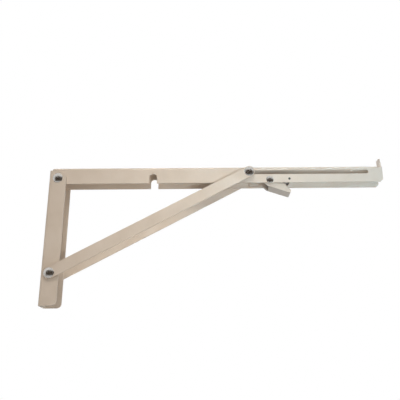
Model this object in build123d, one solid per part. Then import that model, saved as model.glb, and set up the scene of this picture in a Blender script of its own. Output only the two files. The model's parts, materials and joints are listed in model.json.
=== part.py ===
from build123d import *
import os
from math import asin, atan2, cos, degrees, hypot, radians, sin, sqrt, tan

# Folding shelf bracket, shown open. Millimetres; +X runs out from the wall, +Z up, +Y across.
# The origin is the centre of the wall screws, on the wall's face.

os.makedirs("parts", exist_ok=True)

# Sheet metal
SHEET = 1.5                  # thickness of both channels and the lever
BEND_IN = 1.0                # inner radius of the shelf arm's folds
WALL_BEND_IN = 1.5           # and of the wall arm's
CUT_PAST = 5.0               # how far a cutter runs past what it cuts
SIDE_GAP = 0.2               # free play beside the shelf arm's walls, outside and inside
RUN_GAP = 0.05               # radial clearance where a piece turns on a rivet

# Shelf arm: a channel with its open side down
ARM_REACH = 400.0            # wall face to the front of the lip
ARM_WIDTH = 23.4
ARM_DEPTH = 19.8
ARM_REAR_RADIUS = 7.5        # rounded rear end, about the corner pivot
ARM_REAR_CORNER = 4.0        # on the upper rear corner
ARM_FRONT_RELIEF = 1.0       # the walls stop this far behind the lip's front
ARM_FRONT_BEVEL = 3.3        # on the walls' lower front corner
LIP_WIDTH = 12.0             # a tongue of the web, bent up
LIP_SIDE_CUT = 0.8           # slit on each side of the tongue
LIP_HEIGHT = 12.0            # above the seat
LIP_LEAN = 5.0               # degrees past square
LIP_CORNER = 2.0
SHELF_SCREW_RADIUS = 2.5
SHELF_OUTER_SCREWS = (55.0, ARM_REACH - 35.0)
SHELF_INNER_SCREWS = (130.0, 205.0)

# Wall arm: a channel with its back to the wall
WALL_ARM_TOP = 89.5
WALL_ARM_TOP_FALL = 4.0      # the top edge falls this much towards the free side
WALL_ARM_BOTTOM = -68.0
WALL_ARM_DEPTH = 20.0
WALL_ARM_CORNER = 5.0        # on the walls' free corners
WALL_SCREW_RADIUS = 2.75
WALL_SCREW_PITCH = 58.0      # three holes in a row

# Linkage
PIVOT_OUT = 10.0             # wall face to the corner and foot pivots
CORNER_HEIGHT = 80.0
FOOT_DROP = 112.5            # corner pivot down to the foot pivot
SLOT_RISE = 5.7              # slot line above the corner pivot
SEAT_RISE = 12.6             # seat above the corner pivot
BRACE_LENGTH = 256.0         # foot pivot to sliding pivot
BAR_WIDTH = 13.0
BAR_THICK = 2.0
WASHER_THICK = 0.9
WASHER_RADIUS = 6.3
SLOT_RUN_OUT = 0.8           # slot left beyond the pin when folded
SLOT_PLAY = 0.1

# Rivets, pins and tubes
CORNER_SHANK = 3.0
CORNER_HEAD = 5.8
CORNER_HEAD_HEIGHT = 2.4
FOOT_SHANK = 3.0
SLIDE_SHANK = 1.7
SLIDE_BUSH_RADIUS = 2.4
SLIDE_PIN_PROUD = 0.08       # pin and bushes stand this far out of the slot on each side
BRACE_HEAD = 5.8
BRACE_HEAD_HEIGHT = 2.4
HEAD_RIM = 0.4               # straight edge of a domed head
CORNER_TUBE = 5.0
FOOT_TUBE = 4.0
NOTCH_PLAY = 0.5

# Release lever, inside the shelf arm; its outline is measured from its own pivot
LEVER_PAST = 24.9            # sliding pivot to lever pivot, along the open arm
LEVER_DROP = 9.2             # slot line down to the lever pivot
LEVER_SHANK = 2.0
LEVER_TUBE = 3.2
LEVER_HEAD = 4.4
LEVER_HEAD_HEIGHT = 1.9
LEVER_CORNER = 1.2
NOSE_PLAY = 0.2              # nose below the sliding pin's path
NOSE_BACK = 0.35             # nose behind the pin when the bracket is open
NOSE_FOOT = -2.0             # where the nose's round front ends below the pivot
BROW_FRONT = -8.0
BROW = 4.8
BELLY_REAR = (-7.5, -3.2)
BELLY = (-2.4, -7.5)
TAIL_TOP = (12.8, -3.4)
TAIL_TIP_TOP = (25.2, -12.8)
TAIL_TIP_LOW = (24.2, -16.4)
LEVER_WEB_START = 1.0        # from the belly's corner, along the lower edge

# Lever spring and its stop pin
STOP_PAST = 23.6             # lever pivot to spring pin, along the open arm
STOP_RISE = 0.9
STOP_RADIUS = 1.5
WIRE = 0.8
COIL_PLAY = 0.15
COIL_TURNS = 3
COIL_PITCH = 0.95
LEG_REACH = 16.0             # lever pivot to the end of the leg on the lever's web

# Heights and places that follow
CORNER = (PIVOT_OUT, CORNER_HEIGHT)
FOOT = (PIVOT_OUT, CORNER_HEIGHT - FOOT_DROP)
SEAT = CORNER_HEIGHT + SEAT_RISE
ARM_LOW = SEAT - ARM_DEPTH
SLOT_LINE = CORNER_HEIGHT + SLOT_RISE
BEND_OUT = BEND_IN + SHEET
BRACE_ANGLE = degrees(asin((FOOT_DROP + SLOT_RISE) / BRACE_LENGTH))
SLIDE_OPEN = PIVOT_OUT + BRACE_LENGTH * cos(radians(BRACE_ANGLE))
SLIDE_FOLDED = PIVOT_OUT + FOOT_DROP + sqrt(BRACE_LENGTH**2 - SLOT_RISE**2)
SLIDE = (SLIDE_OPEN, SLOT_LINE)
LEVER = (SLIDE[0] + LEVER_PAST, SLIDE[1] - LEVER_DROP)
STOP = (LEVER[0] + STOP_PAST, LEVER[1] + STOP_RISE)
PIN_RADIUS = SLIDE_SHANK - RUN_GAP
LEVER_SLOPE = atan2(TAIL_TIP_LOW[1] - BELLY[1], TAIL_TIP_LOW[0] - BELLY[0])

# Layers across the bracket, as half widths
ARM_OUT = ARM_WIDTH / 2
ARM_IN = ARM_OUT - SHEET
PLATE_OUT = ARM_IN - SIDE_GAP
PLATE_IN = PLATE_OUT - SHEET
PIN_END = ARM_OUT + SLIDE_PIN_PROUD
YOKE_IN = ARM_OUT + SIDE_GAP
YOKE_OUT = YOKE_IN + SHEET
BAR_IN = YOKE_OUT + WASHER_THICK
BAR_OUT = BAR_IN + BAR_THICK


def across(outline, low, high):
    """Extrude an outline drawn in X and Z from y = low to y = high."""
    return extrude(Plane.XZ.offset(-high) * outline, amount=high - low)


def both_walls(outline):
    """A cutter that passes through everything from side to side."""
    return across(outline, -BAR_OUT - CUT_PAST, BAR_OUT + CUT_PAST)


def disc(place, radius):
    return Pos(*place) * Circle(radius)


def tube(place, inner, outer, low, high):
    return across(disc(place, outer) - disc(place, inner), low, high)


def box_between(low, high):
    """Outline of an upright rectangle from its lower left to its upper right corner."""
    middle = ((low[0] + high[0]) / 2, (low[1] + high[1]) / 2)
    return Pos(*middle) * Rectangle(high[0] - low[0], high[1] - low[1])


def channel_section(width, depth, bend):
    """Section of a folded channel: back along the top edge, walls running down."""
    outer = Pos(0, -depth / 2) * Rectangle(width, depth)
    outer = fillet(outer.vertices().group_by(Axis.Y)[-1], bend + SHEET)
    inner = Pos(0, -SHEET - depth / 2) * Rectangle(width - 2 * SHEET, depth)
    inner = fillet(inner.vertices().group_by(Axis.Y)[-1], bend)
    return outer - inner


def rivet(place, shank, seat, head, height):
    """A rivet along Y with a low dome at each end, seated at y = -seat and y = seat."""
    half = domed_half(shank, 0, seat, head, height)
    half = Pos(place[0], 0, place[1]) * half
    return half + mirror(half, Plane.XZ)


def domed_half(shank, start, seat, head, height):
    """Shank from y = start to the seat, with its domed head beyond."""
    edge = seat + HEAD_RIM if height > 2 * HEAD_RIM else seat + height / 2
    top = seat + height
    rise = top - edge
    dome = (head**2 + rise**2) / (2 * rise)
    along = atan2(head, dome - rise) / 2
    middle = (dome * sin(along), top - dome + dome * cos(along))
    profile = make_face([
        Line((0, start), (shank, start)),
        Line((shank, start), (shank, seat)),
        Line((shank, seat), (head, seat)),
        Line((head, seat), (head, edge)),
        ThreePointArc((head, edge), middle, (0, top)),
        Line((0, top), (0, start)),
    ])
    return revolve(profile, Axis.Y)


def arm_profile():
    """Side view of the shelf arm's walls and web."""
    front = ARM_REACH - ARM_FRONT_RELIEF
    body = box_between((PIVOT_OUT, ARM_LOW), (front, SEAT))
    rear = box_between((PIVOT_OUT - ARM_REAR_RADIUS, CORNER_HEIGHT), (PIVOT_OUT, SEAT))
    rear = fillet(rear.vertices().sort_by(Axis.X)[0:2].sort_by(Axis.Y)[-1], ARM_REAR_CORNER)
    heel = disc(CORNER, ARM_REAR_RADIUS)
    heel -= box_between((-ARM_REACH, -ARM_REACH), (ARM_REACH, ARM_LOW))
    bevel = make_face(Polyline(
        (front - ARM_FRONT_BEVEL, ARM_LOW),
        (front, ARM_LOW),
        (front, ARM_LOW + ARM_FRONT_BEVEL),
        close=True,
    ))
    return body + rear + heel - bevel


def arm_cuts():
    """Slot, notch and rivet holes through both walls of the shelf arm."""
    slot_radius = SLIDE_BUSH_RADIUS + SLOT_PLAY
    start = SLIDE_OPEN - SLOT_PLAY
    end = SLIDE_FOLDED + SLOT_RUN_OUT
    slot = Pos((start + end) / 2, SLOT_LINE) * SlotCenterToCenter(end - start, 2 * slot_radius)
    notch_radius = FOOT_TUBE + NOTCH_PLAY
    notch_place = (PIVOT_OUT + FOOT_DROP, CORNER_HEIGHT)
    notch = disc(notch_place, notch_radius)
    notch += box_between(
        (notch_place[0] - notch_radius, ARM_LOW - CUT_PAST),
        (notch_place[0] + notch_radius, CORNER_HEIGHT),
    )
    pivot = disc(CORNER, CORNER_SHANK + RUN_GAP)
    lever = disc(LEVER, LEVER_SHANK)
    stop = disc(STOP, STOP_RADIUS)
    return [slot, notch, pivot, lever, stop]


def front_lip():
    """A tongue of the web, bent up past square."""
    centre = (ARM_REACH - BEND_OUT, SEAT + BEND_IN)
    bend = Circle(BEND_OUT) - Circle(BEND_IN)
    quarter = Rectangle(BEND_OUT, BEND_OUT, align=(Align.MIN, Align.MAX))
    past = Rot(0, 0, LIP_LEAN - 90) * Rectangle(BEND_OUT, BEND_OUT, align=(Align.MIN, Align.MIN))
    bend = bend & (quarter + past)
    rise = LIP_HEIGHT - BEND_IN
    blade = Pos(BEND_IN, 0) * Rectangle(SHEET, rise, align=(Align.MIN, Align.MIN))
    blade = Rot(0, 0, LIP_LEAN) * blade
    outline = Pos(*centre) * (bend + blade)
    foot = box_between((centre[0] - SHEET, SEAT - SHEET), (centre[0], SEAT))
    lip = across(outline + foot, -LIP_WIDTH / 2, LIP_WIDTH / 2)
    tips = lip.edges().filter_by(lambda e: e.length < LIP_CORNER).group_by(Axis.Z)[-1]
    return fillet(tips, LIP_CORNER)


def shelf_arm():
    rear = PIVOT_OUT - ARM_REAR_RADIUS
    section_plane = Plane((rear, 0, SEAT), x_dir=(0, 1, 0), z_dir=(1, 0, 0))
    channel = section_plane * channel_section(ARM_WIDTH, ARM_DEPTH, BEND_IN)
    arm = extrude(channel, amount=ARM_REACH - ARM_FRONT_RELIEF - rear)
    arm &= both_walls(arm_profile())
    for cut in arm_cuts():
        arm -= both_walls(cut)
    for x in SHELF_OUTER_SCREWS + SHELF_INNER_SCREWS:
        arm -= Pos(x, 0, SEAT) * Cylinder(SHELF_SCREW_RADIUS, 4 * SHEET)
    tongue = box_between((ARM_REACH - BEND_OUT, SEAT - 2 * SHEET), (ARM_REACH, SEAT + SHEET))
    slit = LIP_WIDTH / 2 + LIP_SIDE_CUT
    arm -= across(tongue, -slit, slit)
    return arm + front_lip()


def wall_arm():
    section_plane = Plane((0, 0, WALL_ARM_BOTTOM), x_dir=(0, 1, 0), z_dir=(0, 0, 1))
    channel = section_plane * channel_section(2 * YOKE_OUT, WALL_ARM_DEPTH, WALL_BEND_IN)
    arm = extrude(channel, amount=WALL_ARM_TOP - WALL_ARM_BOTTOM)
    profile = make_face(Polyline(
        (0, WALL_ARM_BOTTOM),
        (WALL_ARM_DEPTH, WALL_ARM_BOTTOM),
        (WALL_ARM_DEPTH, WALL_ARM_TOP - WALL_ARM_TOP_FALL),
        (0, WALL_ARM_TOP),
        close=True,
    ))
    profile = fillet(profile.vertices().sort_by(Axis.X)[-2:], WALL_ARM_CORNER)
    arm &= both_walls(profile)
    arm -= both_walls(disc(CORNER, CORNER_SHANK))
    arm -= both_walls(disc(FOOT, FOOT_SHANK))
    for z in (-WALL_SCREW_PITCH, 0, WALL_SCREW_PITCH):
        hole = Cylinder(WALL_SCREW_RADIUS, 4 * SHEET, rotation=(0, 90, 0))
        arm -= Pos(0, 0, z) * hole
    return arm


def brace_bar(low, high):
    """A flat bar with round ends, from the foot pivot to the sliding pivot."""
    bar = Pos(BRACE_LENGTH / 2, 0) * SlotCenterToCenter(BRACE_LENGTH, BAR_WIDTH)
    bar -= Circle(FOOT_SHANK + RUN_GAP)
    bar -= Pos(BRACE_LENGTH, 0) * Circle(SLIDE_SHANK)
    return across(Pos(*FOOT) * Rot(0, 0, BRACE_ANGLE) * bar, low, high)


def slide_rivet_end():
    """One end of the sliding rivet, in the near or far bar."""
    end = domed_half(SLIDE_SHANK, BAR_IN, BAR_OUT, BRACE_HEAD, BRACE_HEAD_HEIGHT)
    return Pos(SLIDE[0], 0, SLIDE[1]) * end


def lever_outline():
    """Side view of the lever about its pivot, nose to the left and tail to the right."""
    nose_top = (PIN_RADIUS + NOSE_BACK - LEVER_PAST, LEVER_DROP - PIN_RADIUS - NOSE_PLAY)
    nose = hypot(*nose_top)
    nose_low = (-sqrt(nose**2 - NOSE_FOOT**2), NOSE_FOOT)
    nose_middle = (-sqrt(nose**2 - (nose_top[1] / 2)**2), nose_top[1] / 2)
    body = make_face([
        ThreePointArc(nose_low, nose_middle, nose_top),
        Line(nose_top, (BROW_FRONT, nose_top[1])),
        Line((BROW_FRONT, nose_top[1]), (0, BROW)),
        Line((0, BROW), TAIL_TOP),
        Line(TAIL_TOP, TAIL_TIP_TOP),
        Line(TAIL_TIP_TOP, TAIL_TIP_LOW),
        Line(TAIL_TIP_LOW, BELLY),
        Line(BELLY, BELLY_REAR),
        Line(BELLY_REAR, nose_low),
    ])
    corners = body.vertices().sort_by(Axis.X)
    return fillet([corners[0], corners[-1], corners[-2]], LEVER_CORNER)


def lever_web_band():
    """The strip along the lever's lower edge that joins its two sides."""
    length = 2 * hypot(TAIL_TIP_LOW[0] - BELLY[0], TAIL_TIP_LOW[1] - BELLY[1])
    strip = Rectangle(length, 2 * SHEET, align=(Align.MIN, Align.MIN))
    return Pos(*BELLY) * Rot(0, 0, degrees(LEVER_SLOPE)) * Pos(LEVER_WEB_START, -SHEET) * strip


def release_lever():
    outline = lever_outline()
    sides = across(outline - Circle(LEVER_SHANK + RUN_GAP), -PLATE_OUT, PLATE_OUT)
    sides -= Box(ARM_REACH, 2 * PLATE_IN, ARM_REACH)
    web = across(outline & lever_web_band(), -PLATE_OUT, PLATE_OUT)
    return Pos(LEVER[0], 0, LEVER[1]) * (sides + web)


def wire_leg(start, end):
    """A straight round wire from the coil to its free end."""
    along = Vector(*end) - Vector(*start)
    return extrude(Plane(start, z_dir=along) * Circle(WIRE / 2), amount=along.length)


def tangent_point(target, radius, side):
    """Where a line from the target touches a circle about the origin, above (1) or below (-1)."""
    reach = hypot(*target)
    turn = atan2(target[1], target[0]) + side * (radians(90) - asin(radius / reach))
    return (radius * cos(turn), radius * sin(turn))


def half_turn(radius, angle, height):
    """Half a turn of the coil, anticlockwise from an angle in radians, rising by half a pitch."""
    tangent = Vector(-sin(angle), cos(angle), 0)
    start = Vector(radius * cos(angle), radius * sin(angle), height)
    middle = Vector(0, 0, height + COIL_PITCH / 4)
    section = Plane(start, z_dir=tangent) * Circle(WIRE / 2)
    return revolve(section, Axis(middle, (start - middle).cross(tangent)), 180)


def lever_spring():
    """Torsion spring: a coil on the lever's tube, one leg to the stop pin and one to the lever."""
    radius = LEVER_TUBE + COIL_PLAY + WIRE / 2
    clear = WIRE / 2 + RUN_GAP
    stop = (STOP_PAST, STOP_RISE - STOP_RADIUS - clear)
    web_low = BELLY[1] + (LEG_REACH - BELLY[0]) * tan(LEVER_SLOPE)
    seat = (LEG_REACH, web_low + (SHEET + clear) / cos(LEVER_SLOPE))
    upper = tangent_point(stop, radius, 1)
    lower = tangent_point(seat, radius, -1)
    first = atan2(upper[1], upper[0])
    last_part = (degrees(atan2(lower[1], lower[0]) - first)) % 360
    halves = 2 * COIL_TURNS + int(last_part // 180)
    top = halves * COIL_PITCH / 2
    spring = wire_leg((*upper, 0), (*stop, 0)) + wire_leg((*lower, top), (*seat, top))
    for half in range(halves):
        spring += half_turn(radius, first + radians(180 * half), half * COIL_PITCH / 2)
    turned = first + radians(180 * halves)
    end = Vector(radius * cos(turned), radius * sin(turned), top)
    section = Plane(end, z_dir=(-sin(turned), cos(turned), 0)) * Circle(WIRE / 2)
    spring += revolve(section, Axis.Z, last_part % 180)
    return Pos(LEVER[0], top / 2, LEVER[1]) * Rot(90, 0, 0) * spring


def save(name, shape):
    shape.label = name
    export_step(shape, f"parts/{name}.step")
    print(name, len(shape.solids()), round(shape.volume, 1))


pieces = {
    "shelf_arm": shelf_arm(),
    "wall_arm": wall_arm(),
    "brace_bar_left": brace_bar(-BAR_OUT, -BAR_IN),
    "brace_bar_right": brace_bar(BAR_IN, BAR_OUT),
    "corner_rivet": rivet(CORNER, CORNER_SHANK, YOKE_OUT, CORNER_HEAD, CORNER_HEAD_HEIGHT),
    "corner_sleeve": tube(CORNER, CORNER_SHANK + RUN_GAP, CORNER_TUBE, -ARM_IN, ARM_IN),
    "foot_rivet": rivet(FOOT, FOOT_SHANK, BAR_OUT, BRACE_HEAD, BRACE_HEAD_HEIGHT),
    "foot_sleeve": tube(FOOT, FOOT_SHANK + RUN_GAP, FOOT_TUBE, -YOKE_IN, YOKE_IN),
    "foot_washer_left": tube(FOOT, FOOT_SHANK + RUN_GAP, WASHER_RADIUS, -BAR_IN, -YOKE_OUT),
    "foot_washer_right": tube(FOOT, FOOT_SHANK + RUN_GAP, WASHER_RADIUS, YOKE_OUT, BAR_IN),
    "slide_pin": across(disc(SLIDE, PIN_RADIUS), -PIN_END, PIN_END),
    "slide_bush_left": tube(SLIDE, SLIDE_SHANK, SLIDE_BUSH_RADIUS, -PIN_END, -ARM_IN),
    "slide_bush_right": tube(SLIDE, SLIDE_SHANK, SLIDE_BUSH_RADIUS, ARM_IN, PIN_END),
    "slide_rivet_end_left": mirror(slide_rivet_end(), Plane.XZ),
    "slide_rivet_end_right": slide_rivet_end(),
    "release_lever": release_lever(),
    "lever_rivet": rivet(LEVER, LEVER_SHANK, ARM_OUT, LEVER_HEAD, LEVER_HEAD_HEIGHT),
    "lever_sleeve": tube(LEVER, LEVER_SHANK + RUN_GAP, LEVER_TUBE, RUN_GAP - PLATE_IN, PLATE_IN - RUN_GAP),
    "lever_spring": lever_spring(),
    "spring_pin": across(disc(STOP, STOP_RADIUS), -ARM_OUT, ARM_OUT),
}

for name, shape in pieces.items():
    save(name, shape)
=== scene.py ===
import json
from math import cos, radians, sin

import bpy
from mathutils import Matrix, Vector


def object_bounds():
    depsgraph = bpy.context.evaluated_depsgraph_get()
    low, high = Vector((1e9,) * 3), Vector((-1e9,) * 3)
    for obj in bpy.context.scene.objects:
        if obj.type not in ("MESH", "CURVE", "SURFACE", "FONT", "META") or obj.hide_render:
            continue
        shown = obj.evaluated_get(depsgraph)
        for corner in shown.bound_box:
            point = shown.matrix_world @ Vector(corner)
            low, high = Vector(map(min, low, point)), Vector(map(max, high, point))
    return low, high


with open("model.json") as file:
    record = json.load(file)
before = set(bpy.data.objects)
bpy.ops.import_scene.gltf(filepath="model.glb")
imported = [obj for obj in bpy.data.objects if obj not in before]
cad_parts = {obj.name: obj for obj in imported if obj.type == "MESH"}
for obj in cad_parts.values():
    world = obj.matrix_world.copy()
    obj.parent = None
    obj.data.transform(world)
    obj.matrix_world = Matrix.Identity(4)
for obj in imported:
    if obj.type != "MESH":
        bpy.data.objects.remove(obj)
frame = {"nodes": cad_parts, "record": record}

cad_low, cad_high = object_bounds()
nodes = frame["nodes"]
scene = bpy.context.scene
MM = 0.001

# Camera, in degrees and metres: from below and in front. The aim is half-way along the shelf arm,
# and the two lengths after it move the camera across its own view.
CAMERA_AZIMUTH = -2.0
CAMERA_ELEVATION = -20.986
CAMERA_ROLL = -1.0765
CAMERA_DISTANCE = 0.7106
CAMERA_LENS_RATIO = 1.5132          # focal length over the sensor's width
CAMERA_AIM = Vector((0.200, 0.0, 0.010))
CAMERA_AIM_RIGHT = 0.01243
CAMERA_AIM_UP = 0.09705
CAMERA_SHIFT = (-0.0732, -0.1149)
CAMERA_NEAR = 0.01
CAMERA_FAR = 50.0
SENSOR = 36.0

# Surroundings
FLOOR_SIZE = 14.0
FLOOR_GAP = 0.45                    # from the bracket, which hangs as on a wall, down to the floor
FLOOR_TONE = 0.62
FLOOR_GLOW = 0.7                    # share of plain white in the floor where it is seen
WORLD_LEVEL = 0.33                  # strength of the world's light, seen white at 1
CARD_PLACE = (0.675, -0.75, 0.05)
CARD_WIDTH = 3.05
CARD_HEIGHT = 1.1

# Colours, linear
CREAM = (0.70, 0.59, 0.48)
CREAM_LIGHT = (0.74, 0.635, 0.53)
CREAM_DARK = (0.65, 0.54, 0.43)
CREAM_EDGE = (0.54, 0.44, 0.34)
CARD_BROWN = (0.17, 0.13, 0.10)
WHITE = (1.0, 1.0, 1.0)

# Sockets of the Mix node that hold colours
MIX_FACTOR = 0
MIX_FIRST = 6
MIX_SECOND = 7
MIX_RESULT = 2


def node_material(name):
    material = bpy.data.materials.new(name)
    material.use_nodes = True
    tree = material.node_tree
    return material, tree, tree.nodes["Principled BSDF"]


def add(tree, kind, **inputs):
    node = tree.nodes.new(kind)
    for key, value in inputs.items():
        node.inputs[key.replace("_", " ")].default_value = value
    return node


def calculated(tree, operation, first, second):
    """A Math node on a socket and either another socket or a number."""
    node = tree.nodes.new("ShaderNodeMath")
    node.operation = operation
    tree.links.new(first, node.inputs[0])
    if isinstance(second, float):
        node.inputs[1].default_value = second
    else:
        tree.links.new(second, node.inputs[1])
    return node.outputs[0]


def object_noise(tree, scale, detail, stretch=(1, 1, 1)):
    """Noise fixed to the piece, with the scale in cells a metre."""
    coordinates = tree.nodes.new("ShaderNodeTexCoord")
    mapping = tree.nodes.new("ShaderNodeMapping")
    mapping.inputs["Scale"].default_value = stretch
    noise = add(tree, "ShaderNodeTexNoise", Scale=scale, Detail=detail)
    tree.links.new(coordinates.outputs["Object"], mapping.inputs["Vector"])
    tree.links.new(mapping.outputs["Vector"], noise.inputs["Vector"])
    return noise.outputs["Fac"]


def ramp(tree, factor, stops):
    node = tree.nodes.new("ShaderNodeValToRGB")
    elements = node.color_ramp.elements
    while len(elements) < len(stops):
        elements.new(0.5)
    for element, (place, colour) in zip(elements, stops):
        element.position = place
        element.color = (*colour, 1)
    tree.links.new(factor, node.inputs["Fac"])
    return node.outputs["Color"]


def grey_ramp(tree, factor, low_stop, high_stop):
    """Greys between two stops, each given as (factor, grey)."""
    return ramp(tree, factor, [(place, (tone,) * 3) for place, tone in (low_stop, high_stop)])


def edge_mask(tree, radius):
    """1 on flat surfaces, less where an edge turns within the radius."""
    bevel = add(tree, "ShaderNodeBevel", Radius=radius)
    geometry = tree.nodes.new("ShaderNodeNewGeometry")
    dot = tree.nodes.new("ShaderNodeVectorMath")
    dot.operation = "DOT_PRODUCT"
    tree.links.new(bevel.outputs["Normal"], dot.inputs[0])
    tree.links.new(geometry.outputs["Normal"], dot.inputs[1])
    return dot.outputs["Value"]


def bumped(tree, shader, heights, edge):
    """Rounds the edges in the shading, and adds the height fields given as (field, metres)."""
    normal = add(tree, "ShaderNodeBevel", Radius=edge).outputs["Normal"]
    for field, distance in heights:
        bump = add(tree, "ShaderNodeBump", Strength=1.0, Distance=distance)
        tree.links.new(field, bump.inputs["Height"])
        tree.links.new(normal, bump.inputs["Normal"])
        normal = bump.outputs["Normal"]
    tree.links.new(normal, shader.inputs["Normal"])


def mixed(tree, factor, first, second):
    mix = tree.nodes.new("ShaderNodeMix")
    mix.data_type = "RGBA"
    tree.links.new(factor, mix.inputs[MIX_FACTOR])
    tree.links.new(first, mix.inputs[MIX_FIRST])
    tree.links.new(second, mix.inputs[MIX_SECOND])
    return mix.outputs[MIX_RESULT]


def powder_coat(name, seed, painted_shade=1.0):
    """Satin cream powder coat: orange peel, faint clouds of tone, thinner along edges. A shade
    factor below 1 darkens all its colours as painted shade over the whole piece.
    """
    material, tree, shader = node_material(name)
    dark, plain, light, worn = [
        [painted_shade * channel for channel in colour]
        for colour in (CREAM_DARK, CREAM, CREAM_LIGHT, CREAM_EDGE)
    ]
    clouds = object_noise(tree, scale=34.0 + seed, detail=3.0)
    specks = object_noise(tree, scale=2600.0, detail=2.0)
    patches = object_noise(tree, scale=300.0, detail=1.0)
    tone = ramp(tree, clouds, [(0.30, dark), (0.5, plain), (0.72, light)])
    grain = ramp(tree, specks, [(0.30, dark), (0.5, plain), (0.70, light)])
    colour = mixed(tree, grey_ramp(tree, patches, (0.3, 0.25), (0.7, 0.5)), tone, grain)

    thin = grey_ramp(tree, edge_mask(tree, 0.5 * MM), (0.72, 1.0), (0.97, 0.0))
    edge = ramp(tree, clouds, [(0.3, worn), (0.7, plain)])
    tree.links.new(mixed(tree, thin, colour, edge), shader.inputs["Base Color"])

    sheen = object_noise(tree, scale=500.0, detail=3.0)
    tree.links.new(grey_ramp(tree, sheen, (0.3, 0.34), (0.7, 0.46)), shader.inputs["Roughness"])

    peel = object_noise(tree, scale=620.0, detail=1.5)
    fine = object_noise(tree, scale=1900.0, detail=2.0)
    bumped(tree, shader, [(peel, 0.06 * MM), (fine, 0.012 * MM)], edge=0.3 * MM)
    return material


def metal(name, light, dark, rough, scale, height, edge, stretch=(1, 1, 1)):
    """Bare metal with uneven tone and gloss and fine surface marks."""
    material, tree, shader = node_material(name)
    shader.inputs["Metallic"].default_value = 1.0
    tone = object_noise(tree, scale, 4.0, stretch)
    gloss = object_noise(tree, 2.2 * scale, 3.0, stretch)
    marks = object_noise(tree, 3.0 * scale, 3.0, stretch)
    tree.links.new(ramp(tree, tone, [(0.3, dark), (0.7, light)]), shader.inputs["Base Color"])
    tree.links.new(
        grey_ramp(tree, gloss, (0.3, rough[0]), (0.7, rough[1])), shader.inputs["Roughness"]
    )
    bumped(tree, shader, [(marks, height)], edge)
    return material


def bright_rivet():
    return metal(
        "bright_rivet", light=(0.62, 0.60, 0.57), dark=(0.50, 0.48, 0.45), rough=(0.20, 0.32),
        scale=420.0, height=0.02 * MM, edge=0.25 * MM,
    )


def zinc_plate():
    return metal(
        "zinc_plate", light=(0.62, 0.64, 0.66), dark=(0.44, 0.46, 0.49), rough=(0.30, 0.48),
        scale=700.0, height=0.01 * MM, edge=0.1 * MM,
    )


def spring_steel():
    return metal(
        "spring_steel", light=(0.42, 0.42, 0.43), dark=(0.26, 0.26, 0.28), rough=(0.26, 0.42),
        scale=900.0, height=0.01 * MM, edge=0.05 * MM, stretch=(1.0, 0.25, 1.0),
    )


def dark_pin():
    return metal(
        "dark_pin", light=(0.16, 0.155, 0.14), dark=(0.09, 0.085, 0.075), rough=(0.35, 0.50),
        scale=700.0, height=0.01 * MM, edge=0.1 * MM,
    )


def dress_bracket():
    """Gives each node the finish of its material slot. The spring's pin has one of its own."""
    finishes = {
        "powder_coat_shelf_arm": powder_coat("coat_shelf_arm", seed=0.0),
        "powder_coat_wall_arm": powder_coat("coat_wall_arm", seed=5.0),
        "powder_coat_bars": powder_coat("coat_bars", seed=9.0),
        # The lever's coat is painted darker, at 0.88 of the cream: painted shade standing in for
        # the shade the lever sits in under the shelf arm.
        "powder_coat_lever": powder_coat("coat_lever", seed=14.0, painted_shade=0.88),
        "bright_rivet": bright_rivet(),
        "zinc": zinc_plate(),
        "spring_steel": spring_steel(),
    }
    own_finishes = {"spring_pin": dark_pin()}
    for part in frame["record"]["subparts"]:
        name, slot = part["node"], part["material_slot"]
        mesh = nodes[name].data
        mesh.materials.clear()
        mesh.materials.append(own_finishes.get(name, finishes[slot]))
        for face in mesh.polygons:
            face.material_index = 0


def lay_floor():
    """Pale floor that glows towards white where the camera or a reflection sees it."""
    height = cad_low[2] - FLOOR_GAP
    bpy.ops.mesh.primitive_plane_add(size=FLOOR_SIZE, location=(CAMERA_AIM.x, 0, height))
    floor = bpy.context.object
    floor.name = "floor"
    paint, tree, shader = node_material("floor_paint")
    shader.inputs["Base Color"].default_value = (FLOOR_TONE, FLOOR_TONE, FLOOR_TONE, 1)
    shader.inputs["Roughness"].default_value = 0.9
    rays = tree.nodes.new("ShaderNodeLightPath").outputs
    glow = add(tree, "ShaderNodeEmission", Color=(*WHITE, 1), Strength=1.0)
    seen = calculated(tree, "MAXIMUM", rays["Is Camera Ray"], rays["Is Glossy Ray"])
    blend = tree.nodes.new("ShaderNodeMixShader")
    tree.links.new(calculated(tree, "MULTIPLY", seen, FLOOR_GLOW), blend.inputs[0])
    tree.links.new(shader.outputs[0], blend.inputs[1])
    tree.links.new(glow.outputs[0], blend.inputs[2])
    tree.links.new(blend.outputs[0], tree.nodes["Material Output"].inputs["Surface"])
    floor.data.materials.append(paint)


def light_world():
    """White to the camera and in reflections, and a plain soft grey for the light."""
    world = bpy.data.worlds.new("world")
    scene.world = world
    world.use_nodes = True
    tree = world.node_tree
    background = tree.nodes["Background"]
    background.inputs["Color"].default_value = (*WHITE, 1)
    rays = tree.nodes.new("ShaderNodeLightPath").outputs
    seen = calculated(tree, "MAXIMUM", rays["Is Camera Ray"], rays["Is Glossy Ray"])
    seen = calculated(tree, "MAXIMUM", seen, rays["Is Transmission Ray"])
    level = add(tree, "ShaderNodeMapRange", To_Min=WORLD_LEVEL, To_Max=1.0)
    tree.links.new(seen, level.inputs["Value"])
    tree.links.new(level.outputs["Result"], background.inputs["Strength"])


def softbox(name, place, aim, size, watts, colour, spread=180.0, mirrored=False):
    """An area lamp with its spread in degrees, left out of reflections unless mirrored."""
    lamp = bpy.data.lights.new(name, "AREA")
    lamp.shape = "RECTANGLE"
    lamp.size, lamp.size_y = size
    lamp.energy = watts
    lamp.color = colour
    lamp.spread = radians(spread)
    box = bpy.data.objects.new(name, lamp)
    scene.collection.objects.link(box)
    box.location = place
    box.rotation_euler = (Vector(aim) - Vector(place)).to_track_quat("-Z", "Y").to_euler()
    box.visible_glossy = mirrored


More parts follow.
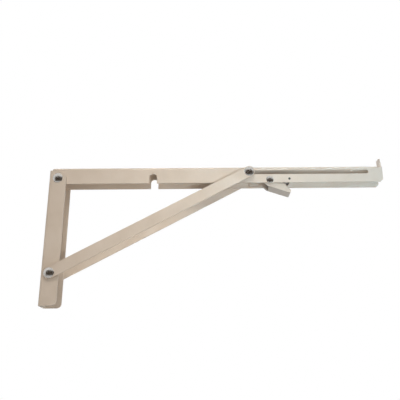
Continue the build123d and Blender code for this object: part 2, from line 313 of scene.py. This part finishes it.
def hang_lamps():
    """Soft lamps, warm at the wall and cooler towards the front of the shelf arm."""
    softbox("key", (0.0, -0.95, 1.35), (0.10, 0, 0.02), (0.6, 0.6),
            watts=0.41, colour=(1.0, 0.92, 0.86), spread=34.0)
    softbox("middle", (0.25, -1.0, 1.0), (0.19, 0, 0.05), (0.3, 0.3),
            watts=0.08, colour=(1.0, 1.0, 0.95), spread=18.0)
    softbox("front", (0.55, -0.9, -0.34), (0.22, 0, 0.05), (0.4, 0.4),
            watts=0.37, colour=(1.0, 0.89, 0.79), spread=50.0)
    softbox("low", (0.75, -0.9, -0.34), (0.36, 0, 0.08), (0.3, 0.3),
            watts=0.15, colour=(0.34, 0.70, 1.0), spread=22.0)
    softbox("side", (1.30, -0.35, 0.25), (0.05, 0, 0.05), (0.5, 0.5),
            watts=3.0, colour=(0.38, 0.72, 1.0))
    softbox("rear", (0.2, 1.2, 0.9), (0.2, 0, 0), (1.2, 0.8),
            watts=10.0, colour=WHITE, mirrored=True)


def stand_card():
    """Dark card upright behind the camera, seen only in reflections."""
    brown, _, shader = node_material("card_black")
    shader.inputs["Base Color"].default_value = (*CARD_BROWN, 1)
    shader.inputs["Roughness"].default_value = 1.0
    shader.inputs["Specular IOR Level"].default_value = 0.0
    bpy.ops.mesh.primitive_plane_add(size=1.0, location=CARD_PLACE, rotation=(radians(90), 0, 0))
    card = bpy.context.object
    card.name = "dark_card"
    card.scale = (CARD_WIDTH, CARD_HEIGHT, 1.0)
    card.data.materials.append(brown)
    card.visible_camera = False
    card.visible_diffuse = False
    card.visible_shadow = False


def photo_camera():
    azimuth, elevation = radians(CAMERA_AZIMUTH), radians(CAMERA_ELEVATION)
    back = Vector((sin(azimuth) * cos(elevation), -cos(azimuth) * cos(elevation), sin(elevation)))
    level_right = (-back).cross(Vector((0, 0, 1))).normalized()
    level_up = level_right.cross(-back)
    roll = radians(CAMERA_ROLL)
    right = level_right * cos(roll) + level_up * sin(roll)
    up = level_up * cos(roll) - level_right * sin(roll)
    place = CAMERA_AIM + right * CAMERA_AIM_RIGHT + up * CAMERA_AIM_UP + back * CAMERA_DISTANCE
    lens = bpy.data.cameras.new("camera")
    lens.sensor_width = SENSOR
    lens.lens = CAMERA_LENS_RATIO * SENSOR
    lens.shift_x, lens.shift_y = CAMERA_SHIFT
    lens.clip_start = CAMERA_NEAR
    lens.clip_end = CAMERA_FAR
    camera = bpy.data.objects.new("camera", lens)
    scene.collection.objects.link(camera)
    camera.matrix_world = Matrix((
        (right.x, up.x, back.x, place.x),
        (right.y, up.y, back.y, place.y),
        (right.z, up.z, back.z, place.z),
        (0, 0, 0, 1),
    ))
    return camera


dress_bracket()
lay_floor()
light_world()
hang_lamps()
stand_card()
scene.camera = photo_camera()
scene.view_settings.view_transform = "Standard"
